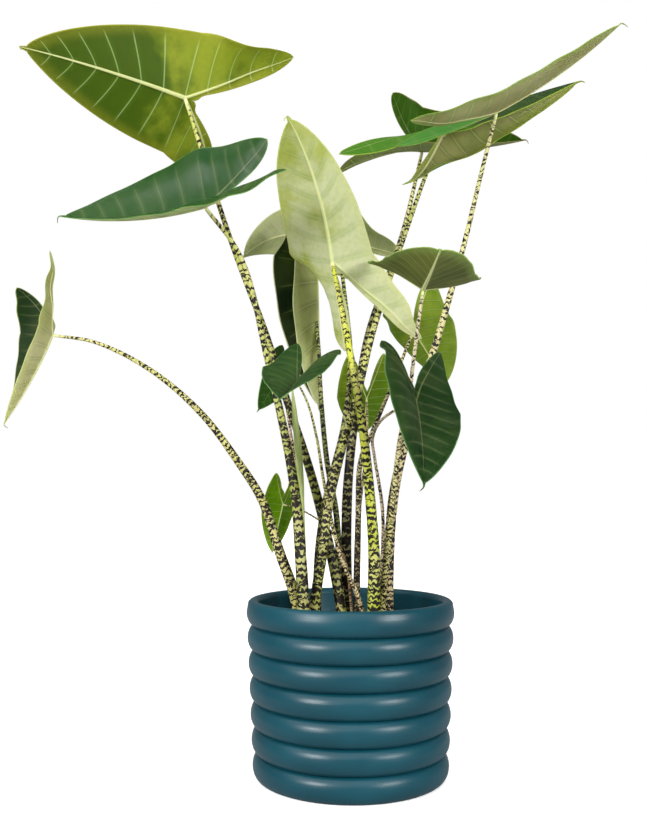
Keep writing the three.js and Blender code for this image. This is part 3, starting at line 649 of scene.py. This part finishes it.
def merged_sheet(leaf):
    """One open sheet from the grids, with shared corners merged, and its values at each point."""
    names = ("rib", "edge", "vein", "share", "strength", "row")
    grids = list(leaf_grids(leaf))
    points = np.concatenate([g["points"].reshape(-1, 3) for g in grids])
    values = {name: np.concatenate([np.asarray(g[name]).ravel() for g in grids]) for name in names}
    _, first, number = np.unique(np.round(points, 5), axis=0, return_index=True, return_inverse=True)
    number = number.ravel()
    faces = []
    offset = 0
    for grid in grids:
        shape = grid["points"].shape[:2]
        index = number[offset:offset + shape[0] * shape[1]].reshape(shape)
        offset += shape[0] * shape[1]
        corners = np.stack([index[:-1, :-1], index[:-1, 1:], index[1:, 1:], index[1:, :-1]], -1)
        corners = corners.reshape(-1, 4)
        if grid["flip"]:
            corners = corners[:, ::-1]
        for corner in corners.tolist():
            kept = [c for i, c in enumerate(corner) if c != corner[i - 1]]
            if len(set(kept)) > 2:
                faces.append(kept)
    return points[first], faces, {name: value[first] for name, value in values.items()}


def sheet_normals(points, faces):
    normals = np.zeros_like(points)
    for corners in faces:
        a, b, c = points[corners[0]], points[corners[1]], points[corners[2]]
        d = points[corners[-1]]
        normal = np.cross(c - a, d - b)
        if len(corners) == 3:
            normal = np.cross(b - a, c - a)
        normals[corners] += normal
    return unit(normals)


def margin_edges(faces):
    edges = set()
    for corners in faces:
        for i, corner in enumerate(corners):
            edges.add((corners[i - 1], corner))
    return [(a, b) for a, b in edges if (b, a) not in edges]


def rib_profile(values, scale):
    """Height of the rounded rib under the blade, in millimetres."""
    size = scale / USUAL_LENGTH
    height = RELIEF["rib_height"] * size * values["strength"] ** RELIEF["rib_rounding"]
    width = (RELIEF["rib_width"] + RELIEF["rib_widening"] * values["strength"]) * size
    return height * np.exp(-(values["rib"] * scale / np.maximum(width, 0.3)) ** 2)


def close_sheet(points, normals, faces, top, bottom):
    """Gives the sheet two faces and a rounded margin. Returns points, faces and each point's source."""
    count = len(points)
    rim = sorted(margin_edges(faces))
    outward = np.zeros_like(points)
    for a, b in rim:
        out = np.cross(points[b] - points[a], normals[a] + normals[b])
        outward[a] += out
        outward[b] += out
    on_rim = sorted({a for edge in rim for a in edge})
    place = {a: 2 * count + i for i, a in enumerate(on_rim)}
    middle = points[on_rim] + unit(outward[on_rim]) * THICKNESS * 0.45
    closed = [list(f) for f in faces] + [[c + count for c in reversed(f)] for f in faces]
    for a, b in rim:
        closed.append([b, a, place[a], place[b]])
        closed.append([place[b], place[a], a + count, b + count])
    everything = np.concatenate([points + normals * top[:, None], points - normals * bottom[:, None], middle])
    source = np.concatenate([np.arange(count), np.arange(count), on_rim]).astype(int)
    side = np.concatenate([np.ones(count), np.zeros(count), np.full(len(on_rim), 0.5)])
    return everything, closed, source, side


def make_leaf(name, spec):
    leaf = read_leaf(spec)
    attach, turn, scale = leaf_frame(spec, leaf)
    points, faces, values = merged_sheet(leaf)
    points = points @ turn.T * scale + attach
    normals = sheet_normals(points, faces)
    waver = np.array([noise.noise(Vector(p) * RELIEF["flutter_scale"]) for p in points])
    quilt = (1 - np.cos(2 * pi * values["vein"])) * values["share"] * (1 - values["share"])
    flutter = RELIEF["flutter"] * waver * values["share"] ** 2
    swell = RELIEF["quilt"] * quilt * scale / USUAL_LENGTH
    points = points + normals * (flutter + swell)[:, None]
    normals = sheet_normals(points, faces)
    half = np.full(len(points), THICKNESS / 2)
    points, faces, source, side = close_sheet(points, normals, faces, half, half + rib_profile(values, scale))
    attributes = dict(side=side, rib=values["rib"][source] * scale, edge=values["edge"][source] * scale,
                      vein=values["vein"][source], share=values["share"][source],
                      row=values["row"][source], strength=values["strength"][source])
    piece = make_object(f"blade_{name}", points, faces, attributes)
    adopt(piece, f"leaf_{name}", leaf_material(name, attach, scale))


def leaf_material(name, attach, scale):
    upper, under, cloud, margin, gloss = LEAF_LOOKS[name]
    s = Shader(f"blade_{name}", IOR=1.45, Specular_IOR_Level=0.14, Subsurface_Weight=0.5,
               Subsurface_Scale=0.004, Subsurface_Radius=(0.8, 1.0, 0.3))
    place = s.place()
    side, rib, edge = s.attribute("side"), s.attribute("rib"), s.attribute("edge")
    vein, share, strength = s.attribute("vein"), s.attribute("share"), s.attribute("strength")
    size = scale / USUAL_LENGTH
    upper_side = s.ease(side, 0.35, 0.65)
    wide = s.noise(place, 11, 2)
    soft = s.noise(place, 45, 3)
    fine = s.noise(place, 220, 2)

    # distance from the nearest side vein, in shares of the gap between two
    gap = s.math("ABSOLUTE", s.minus(s.math("FRACT", s.plus(vein, 0.5)), 0.5))
    on_vein = s.times(s.ease(gap, 0.01, 0.04, 1, 0), s.ease(share, 0.75, 0.97, 1, 0))
    by_vein = s.times(s.ease(gap, 0.02, 0.25, 1, 0), s.ease(share, 0.6, 1, 1, 0))
    rib_edge = s.times(s.plus(s.times(strength, 2.0), 0.45), size)
    on_rib = s.ease(s.math("DIVIDE", rib, rib_edge), 0.5, 1.2, 1, 0)
    near_rim = s.ease(edge, 0.4 * size, 1.5 * size, 1, 0)
    by_rim = s.ease(edge, 1.5 * size, 14 * size, 1, 0)

    lean, offset = CLOUD_LEAN.get(name, (0, 0))
    offset = offset - lean * attach[0] * MM
    sideways = s.node("ShaderNodeSeparateXYZ", {0: place}).outputs["X"]
    lean = s.plus(s.times(sideways, lean), offset)
    blur = s.times(s.minus(soft, 0.5), 0.35)
    leaning = s.plus(s.plus(wide, lean), blur)
    clouds = s.ease(leaning, 0.36, 0.64)
    below = s.mix(clouds, linear(under), linear(cloud))
    below = s.mix(s.times(by_vein, 0.22), below, linear(upper))
    below = s.mix(s.times(by_rim, 0.3), below, linear(margin))
    # The lobes' upper side can take its own colour: on right_second a lighter one painted as lit, beside the
    # blade's upper side painted as shade
    on_lobe = s.ease(s.attribute("row"), -0.15, 0.05, 1, 0)
    tone = s.mix(on_lobe, linear(upper), linear(LOBE_UPPER_PAINTED_LIT.get(name, upper)))
    above = s.mix(s.times(clouds, 0.05), tone, linear(under))
    above = s.mix(s.times(by_vein, 0.04), above, linear(cloud))
    ground = s.mix(upper_side, below, above)
    ground = s.mix(s.ease(fine, 0.35, 0.75, 0, 0.1), ground, linear(GRAIN_COLOUR))
    vein_share = s.times(on_vein, s.ease(upper_side, 0, 1, 0.34, 0.05))
    veined = s.mix(vein_share, ground, linear(VEIN_COLOUR))
    rib_share = s.times(on_rib, s.ease(upper_side, 0, 1, 0.8, 0.12))
    ribbed = s.mix(rib_share, veined, linear(RIB_COLOUR))
    rimmed = s.mix(s.times(near_rim, 0.6), ribbed, linear(margin))

    height = s.plus(s.times(by_vein, -0.15), s.times(fine, 0.06))
    roughness = s.plus(s.ease(upper_side, 0, 1, 0.55, gloss), s.times(soft, 0.12))
    return s.finish(Base_Color=rimmed, Roughness=roughness, Normal=s.bump(height, 0.0006))


# Stalks

def smooth_route(points):
    """A centripetal spline from the foot through the points, sampled evenly along its length."""
    points = np.array([(*points[0], FOOT), *points[1:]], float)
    ends = np.concatenate([[2 * points[0] - points[1]], points, [2 * points[-1] - points[-2]]])
    samples = []
    for i in range(len(points) - 1):
        a, b, c, d = ends[i:i + 4]
        gaps = [max(np.linalg.norm(q - p) ** 0.5, 1e-4) for p, q in ((a, b), (b, c), (c, d))]
        gap_ab, gap_bc, gap_cd = gaps
        start = ((b - a) / gap_ab - (c - a) / (gap_ab + gap_bc) + (c - b) / gap_bc) * gap_bc
        stop = ((c - b) / gap_bc - (d - b) / (gap_bc + gap_cd) + (d - c) / gap_cd) * gap_bc
        t = np.linspace(0, 1, SPLINE_STEPS, endpoint=i == len(points) - 2)[:, None]
        square = 3 * (c - b) - 2 * start - stop
        cube = 2 * (b - c) + start + stop
        samples.append(b + start * t + square * t ** 2 + cube * t ** 3)
    dense = np.concatenate(samples)
    lengths = np.concatenate([[0], np.cumsum(np.linalg.norm(np.diff(dense, axis=0), axis=1))])
    steps = int(lengths[-1] / STALK_STEP)
    even = np.linspace(0, lengths[-1], steps + 1)
    return np.stack([np.interp(even, lengths, dense[:, k]) for k in range(3)], -1), even


def carried_frames(route):
    """Two directions across the route at each point, turned no more than the route turns."""
    tangents = unit(np.gradient(route, axis=0))
    first = unit(np.cross(tangents[0], [0.3, 1, 0.1]))
    normals = [first]
    for tangent in tangents[1:]:
        previous = normals[-1]
        normals.append(unit(previous - tangent * (previous @ tangent)))
    normals = np.array(normals)
    return normals, np.cross(tangents, normals)


def tube(route, radii, sides):
    """Points and faces of a closed round bar. radii has one row for each point of the route."""
    normals, binormals = carried_frames(route)
    angles = np.arange(sides) * 2 * pi / sides
    cosines, sines = np.cos(angles)[None, :, None], np.sin(angles)[None, :, None]
    out = normals[:, None] * cosines + binormals[:, None] * sines
    rings = route[:, None] + out * radii[..., None]
    points = np.concatenate([rings.reshape(-1, 3), route[:1], route[-1:]])
    faces = []
    for i in range(len(route) - 1):
        for j in range(sides):
            k = (j + 1) % sides
            faces.append([i * sides + j, i * sides + k, (i + 1) * sides + k, (i + 1) * sides + j])
    foot, top, last = len(points) - 2, len(points) - 1, (len(route) - 1) * sides
    for j in range(sides):
        k = (j + 1) % sides
        faces.append([foot, k, j])
        faces.append([top, last + j, last + k])
    return points, faces, angles


def skin_place(lengths, radii, angles):
    """Each point's place on the skin, round the bar and along it, for marks with no seam."""
    mean = radii.mean(axis=1)[:, None]
    along = np.repeat(lengths[:, None], len(angles), 1)
    around = np.stack([mean * np.cos(angles), mean * np.sin(angles), along], -1)
    ends = np.array([[0, 0, lengths[0]], [0, 0, lengths[-1]]])
    return np.concatenate([around.reshape(-1, 3), ends])


def make_stalk(name, spec, seed):
    route, lengths = smooth_route([*spec["points"], LEAVES[name]["attach"]])
    share = lengths / lengths[-1]
    foot, top = spec["radii"]
    radii = top + (foot - top) * (1 - share) ** TAPER_POWER
    blunt = np.clip((lengths[-1] - lengths) / (BLUNT_REACH * top), 0, 1)
    radii = radii * np.sqrt(1 - (1 - blunt) ** 2 * BLUNT_DEPTH)
    angles = np.arange(STALK_SIDES) * 2 * pi / STALK_SIDES
    swell = np.array([
        [noise.noise(Vector((cos(a), sin(a), length * 0.02 + seed))) for a in angles]
        for length in lengths
    ])
    radii = radii[:, None] * (1 + SWELL * swell)
    points, faces, angles = tube(route, radii, STALK_SIDES)
    attributes = dict(skin=skin_place(lengths, radii, angles) + [0, 0, 1000 * seed],
                      rise=np.concatenate([np.repeat(share, STALK_SIDES), [0, 1]]))
    piece = make_object(f"stem_{name}", points, faces, attributes)
    adopt(piece, f"stalk_{name}", stalk_material(name))


def stalk_material(name):
    ground_top, ground_foot, dark_foot, dark_top, mark_size = STALK_LOOKS[name]
    s = Shader(f"stem_{name}", IOR=1.45, Specular_IOR_Level=0.3)
    skin, rise = s.attribute("skin", "Vector"), s.attribute("rise")
    flecks = s.noise(s.scaled(skin, (0.7, 0.7, 1.1)), 1.0, 2)
    wide = s.noise(s.scaled(skin, (0.08, 0.08, 0.02)), 1.0, 2)
    # marks lie across the stalk in zigzags: short along it, long around it
    sway = s.noise(s.scaled(skin, (0.3, 0.3, 0.12)), 1.0, 1)
    offset = s.node("ShaderNodeCombineXYZ", {"Z": s.times(sway, 10.0)}).outputs[0]
    swayed = s.node("ShaderNodeVectorMath", {0: skin, 1: offset}, operation="ADD").outputs[0]
    finer = tuple(k / mark_size for k in (0.11, 0.11, 0.38))
    marks = s.noise(s.scaled(swayed, finer), 1.0, 1)
    along = s.node("ShaderNodeSeparateXYZ", {0: swayed}).outputs["Z"]
    bands = s.math("SINE", s.times(along, 2 * pi / (BAND_GAP * mark_size)))
    pattern = s.plus(marks, s.times(s.minus(flecks, 0.5), 0.1))
    pattern = s.plus(pattern, s.times(bands, 0.12))
    levels = [0.5 + (dark - 0.5) * LEVEL_RANGE for dark in (dark_foot, dark_top)]
    level = s.ease(rise, 0.1, 0.95, *levels)
    dark = s.ease(s.minus(pattern, level), -0.01, 0.01, 1, 0)
    ground = s.mix(s.ease(rise, 0.1, 0.9), linear(ground_foot), linear(ground_top))
    ground = s.mix(s.ease(wide, 0.35, 0.65, 0, 0.35), ground, linear(BLUSH_COLOUR))
    ground = s.mix(s.ease(flecks, 0.4, 0.7, 0, 0.3), ground, linear(DULL_COLOUR))
    marked = s.mix(dark, ground, linear(MARK_COLOUR))
    colour = s.mix(s.ease(rise, 0.97, 0.995), marked, linear(RIB_COLOUR))
    roughness = s.ease(flecks, 0.3, 0.7, 0.42, 0.58)
    return s.finish(Base_Color=colour, Roughness=roughness, Normal=s.bump(flecks, 0.0002))


def make_spear():
    """The youngest leaf, still rolled: one edge of the blade lies as a seam that winds up it."""
    route, lengths = smooth_route(SPEAR["points"])
    share = lengths / lengths[-1]
    sides = SPEAR["sides"]
    turns = np.arange(sides) / sides
    radii = np.interp(share, SPEAR["shares"], SPEAR["radii"])
    rolled = smoothstep((share - SPEAR["rolled_from"]) / 0.08)
    seam = (turns[None, :] - SPEAR["windings"] * share[:, None]) % 1
    lift = smoothstep(seam / 0.85) * (1 - smoothstep((seam - 0.93) / 0.07)) - 0.5
    rings = radii[:, None] * (1 + SPEAR["step"] * rolled[:, None] * lift)
    points, faces, _ = tube(route, rings, sides)
    rise = np.concatenate([np.repeat(share, sides), [0, 1]])
    seams = np.concatenate([seam.ravel(), [0.5, 0.5]])
    piece = make_object("blade_rolled", points, faces, dict(rise=rise, seam=seams))
    s = Shader("rolled_blade", IOR=1.45, Subsurface_Weight=0.2, Subsurface_Scale=0.003)
    streaks = s.noise(s.scaled(s.place(), (900, 900, 14)), 1.0, 3)
    colour = s.mix(s.ease(streaks, 0.35, 0.7), linear(ROLLED["dark"]), linear(ROLLED["light"]))
    low = s.mix(s.ease(s.attribute("rise"), 0.25, 0.6), linear(ROLLED["foot"]), colour)
    edge = s.ease(s.attribute("seam"), 0.9, 0.96, 0, 0.6)
    colour = s.mix(edge, low, linear(ROLLED["seam"]))
    material = s.finish(Base_Color=colour, Roughness=0.45, Normal=s.bump(streaks, 0.0003))
    adopt(piece, "leaf_rolled", material)


# Pot and soil

def pot_outline():
    """Half outline from the axis under the base, up the ribs, over the lip and down inside."""
    pitch = POT["height"] / POT["beads"]
    outline = [(0, 0), (POT["foot_radius"] - POT["foot_round"], 0)]
    for bead in reversed(range(POT["beads"])):
        centre = POT["height"] - (bead + 0.5) * pitch
        outer = POT["radius"] - POT["taper_per_bead"] * bead
        first = 1 if bead == POT["beads"] - 1 else 0
        last = ARCS_PER_BEAD // 2 if bead == 0 else ARCS_PER_BEAD - 1
        for i in range(first, last + 1):
            angle = pi * i / ARCS_PER_BEAD - pi / 2
            outline.append((outer - POT["bead_depth"] * (1 - cos(angle)), centre + pitch / 2 * sin(angle)))
    lip_x, lip_z = POT["inner_radius"] + POT["lip_radius"], POT["height"] - POT["lip_radius"]
    for angle in np.radians(range(*LIP_ARC)):
        outline.append((lip_x + POT["lip_radius"] * cos(angle), lip_z + POT["lip_radius"] * sin(angle)))
    return outline + [(POT["inner_floor_radius"], POT["floor_thickness"]), (0, POT["floor_thickness"])]


def ring_faces(rings, sides):
    """Faces of a closed solid: a point below, a point above, and then rings from below upwards."""
    last = 2 + (rings - 1) * sides
    faces = []
    for j in range(sides):
        k = (j + 1) % sides
        faces.append([0, 2 + k, 2 + j])
        faces.append([1, last + j, last + k])
        for i in range(rings - 1):
            a, b = 2 + i * sides, 2 + (i + 1) * sides
            faces.append([a + j, a + k, b + k, b + j])
    return faces


def lathe(outline, sides):
    """Points and faces of a solid of revolution whose outline starts and ends on the axis."""
    angles = np.arange(sides) * 2 * pi / sides
    points = [(0, 0, outline[0][1]), (0, 0, outline[-1][1])]
    inner = outline[1:-1]
    for radius, z in inner:
        points += [(radius * cos(a), radius * sin(a), z) for a in angles]
    return points, ring_faces(len(inner), sides)


def make_pot():
    piece = make_object("glazed_pot", *lathe(pot_outline(), POT_SIDES))
    s = Shader("teal_glaze", IOR=1.5, Specular_IOR_Level=0.3)
    place = s.place()
    cloud = s.noise(place, 9, 3)
    grain = s.noise(place, 420, 3)
    throwing = s.noise(s.scaled(place, (12, 12, 260)), 1.0, 2)
    colour = s.mix(s.ease(cloud, 0.35, 0.65), linear(GLAZE["dark"]), linear(GLAZE["light"]))
    colour = s.mix(s.ease(grain, 0.5, 0.8, 0, 0.2), colour, linear(GLAZE["grain"]))
    roughness = s.plus(s.ease(cloud, 0.3, 0.7, 0.27, 0.33), s.times(grain, 0.06))
    height = s.plus(s.times(grain, 0.3), throwing)
    material = s.finish(Base_Color=colour, Roughness=roughness, Normal=s.bump(height, 0.00012))
    adopt(piece, "pot", material)


def inner_radius_at(z):
    rise = (z - POT["floor_thickness"]) / (POT["height"] - POT["lip_radius"] - POT["floor_thickness"])
    return POT["inner_floor_radius"] + (POT["inner_radius"] - POT["inner_floor_radius"]) * rise


def soil_height(x, y):
    """The soil is highest round the stalks, lowest at the wall and rough all over."""
    spread = min(1.0, (x * x + y * y) ** 0.5 / POT["inner_radius"])
    rough = noise.fractal(Vector((x * 0.06, y * 0.06, 3)), 1.0, 2.1, 5)
    low = SOIL["level"] - SOIL["dip"]
    return low + (SOIL["crown"] + SOIL["dip"]) * (1 - spread ** 2) + SOIL["roughness"] * rough


def make_soil():
    rings, sides = SOIL["rings"], SOIL["sides"]
    outline_radius = inner_radius_at(SOIL["level"]) - SOIL["wall_gap"]
    points = [(0, 0, SOIL["bottom"]), (0, 0, soil_height(0, 0))]
    angles = np.arange(sides) * 2 * pi / sides
    bottom_radius = inner_radius_at(SOIL["bottom"]) - SOIL["wall_gap"]
    points += [(bottom_radius * cos(a), bottom_radius * sin(a), SOIL["bottom"]) for a in angles]
    for i in range(rings, 0, -1):
        radius = outline_radius * i / rings
        for a in angles:
            x, y = radius * cos(a), radius * sin(a)
            points.append((x, y, soil_height(x, y)))
    piece = make_object("soil_bed", points, ring_faces(rings + 1, sides))
    adopt(piece, "soil", soil_material("soil", *SOIL_TONES))
    scatter_lumps("bark_chips", BARK, soil_material("bark", *BARK["tones"]))
    scatter_lumps("perlite", PERLITE, soil_material("perlite", *PERLITE["tones"]))


def scatter_lumps(name, spec, material):
    """Small irregular lumps that lie half sunk in the top of the soil, in one piece."""
    random = np.random.default_rng(spec["seed"])
    sizes = spec["sizes"]
    stock = bmesh.new()
    bmesh.ops.create_icosphere(stock, subdivisions=1, radius=1)
    ball = np.array([v.co for v in stock.verts])
    ball_faces = [[v.index for v in f.verts] for f in stock.faces]
    stock.free()
    points, faces = [], []
    reach = inner_radius_at(SOIL["level"]) - SOIL["wall_gap"] - sizes[1]
    for _ in range(spec["count"]):
        radius, angle = reach * random.random() ** 0.5, 2 * pi * random.random()
        x, y = radius * cos(angle), radius * sin(angle)
        shape = ball * random.uniform(0.6, 1.4, 3) * random.uniform(*sizes)
        shape = shape * (1 + random.uniform(-0.25, 0.25, (len(ball), 1)))
        turn = random.uniform(0, 2 * pi)
        shape = shape @ np.array([[cos(turn), sin(turn), 0], [-sin(turn), cos(turn), 0], [0, 0, 1]])
        shape[:, 2] *= 0.6
        faces += [[c + len(points) for c in f] for f in ball_faces]
        points += (shape + [x, y, soil_height(x, y) + 0.3]).tolist()
    piece = make_object(name, points, faces)
    piece.data.materials.append(material)
    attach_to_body(piece, "root")


def soil_material(name, dark, light):
    s = Shader(name, IOR=1.4)
    place = s.place()
    crumbs = s.noise(place, 380, 5)
    wide = s.noise(place, 60, 3)
    colour = s.mix(s.ease(crumbs, 0.35, 0.7), linear(dark), linear(light))
    colour = s.mix(s.ease(wide, 0.4, 0.7, 0, 0.4), colour, linear(dark))
    roughness = s.ease(crumbs, 0.2, 0.8, 0.8, 0.98)
    return s.finish(Base_Color=colour, Roughness=roughness, Normal=s.bump(crumbs, 0.0012))


# Studio

def make_floor():
    """A round white floor. It glows a little as the camera sees it, but lights the plant dimly."""
    mesh = bpy.data.meshes.new("floor")
    grid = bmesh.new()
    bmesh.ops.create_circle(grid, cap_ends=True, radius=FLOOR_RADIUS, segments=96)
    grid.to_mesh(mesh)
    grid.free()
    floor = bpy.data.objects.new("floor", mesh)
    bpy.context.scene.collection.objects.link(floor)
    floor.location.z = -0.0002
    s = Shader("pale_floor", Roughness=0.9, Specular_IOR_Level=0)
    seen = s.node("ShaderNodeLightPath").outputs["Is Camera Ray"]
    colour = s.mix(seen, *map(linear, FLOOR_TONES))
    glow = s.times(seen, FLOOR_GLOW)
    material = s.finish(Base_Color=colour, Emission_Color=(1, 1, 1, 1), Emission_Strength=glow)
    mesh.materials.append(material)


def add_lamp(name, data, direction):
    lamp = bpy.data.objects.new(name, data)
    bpy.context.scene.collection.objects.link(lamp)
    lamp.rotation_euler = Vector(direction).to_track_quat("-Z", "Y").to_euler()
    return lamp


def softbox(name, at, power):
    data = bpy.data.lights.new(name, "AREA")
    data.shape = "RECTANGLE"
    data.size, data.size_y = SOFTBOX_SIZE
    data.energy = power
    add_lamp(name, data, Vector(LIT_POINT) - Vector(at)).location = at


def even_light(direction, spread, strength):
    data = bpy.data.lights.new("even_light", "SUN")
    data.angle = radians(spread)
    data.energy = strength
    add_lamp("even_light", data, direction)


def make_studio():
    """A white room: even light from above, a dimmer surround and two softboxes in front."""
    make_floor()
    world = bpy.data.worlds.new("pale_studio")
    world.use_nodes = True
    tree = world.node_tree
    background = tree.nodes["Background"]
    background.inputs["Color"].default_value = (1, 1, 1, 1)
    seen = tree.nodes.new("ShaderNodeLightPath").outputs["Is Camera Ray"]
    strength = tree.nodes.new("ShaderNodeMapRange")
    strength.inputs["To Min"].default_value = SURROUND
    tree.links.new(seen, strength.inputs["Value"])
    tree.links.new(strength.outputs["Result"], background.inputs["Strength"])
    bpy.context.scene.world = world
    even_light(**SUN)
    for name, spec in SOFTBOXES.items():
        softbox(name, **spec)
    bpy.context.scene.view_settings.view_transform = "Standard"


def make_camera():
    data = bpy.data.cameras.new("camera")
    data.lens = CAMERA["lens"]
    data.sensor_width = CAMERA["sensor"]
    camera = bpy.data.objects.new("camera", data)
    bpy.context.scene.collection.objects.link(camera)
    camera.location = Vector(CAMERA["at"]) * MM
    camera.rotation_euler = (radians(90 + CAMERA["pitch"]), 0, 0)
    bpy.context.scene.camera = camera


make_camera()
make_studio()
make_pot()
make_soil()
for leaf_name, leaf_spec in LEAVES.items():
    make_leaf(leaf_name, leaf_spec)
for number, (stalk_name, stalk_spec) in enumerate(STALKS.items()):
    make_stalk(stalk_name, stalk_spec, number + 1)
make_spear()
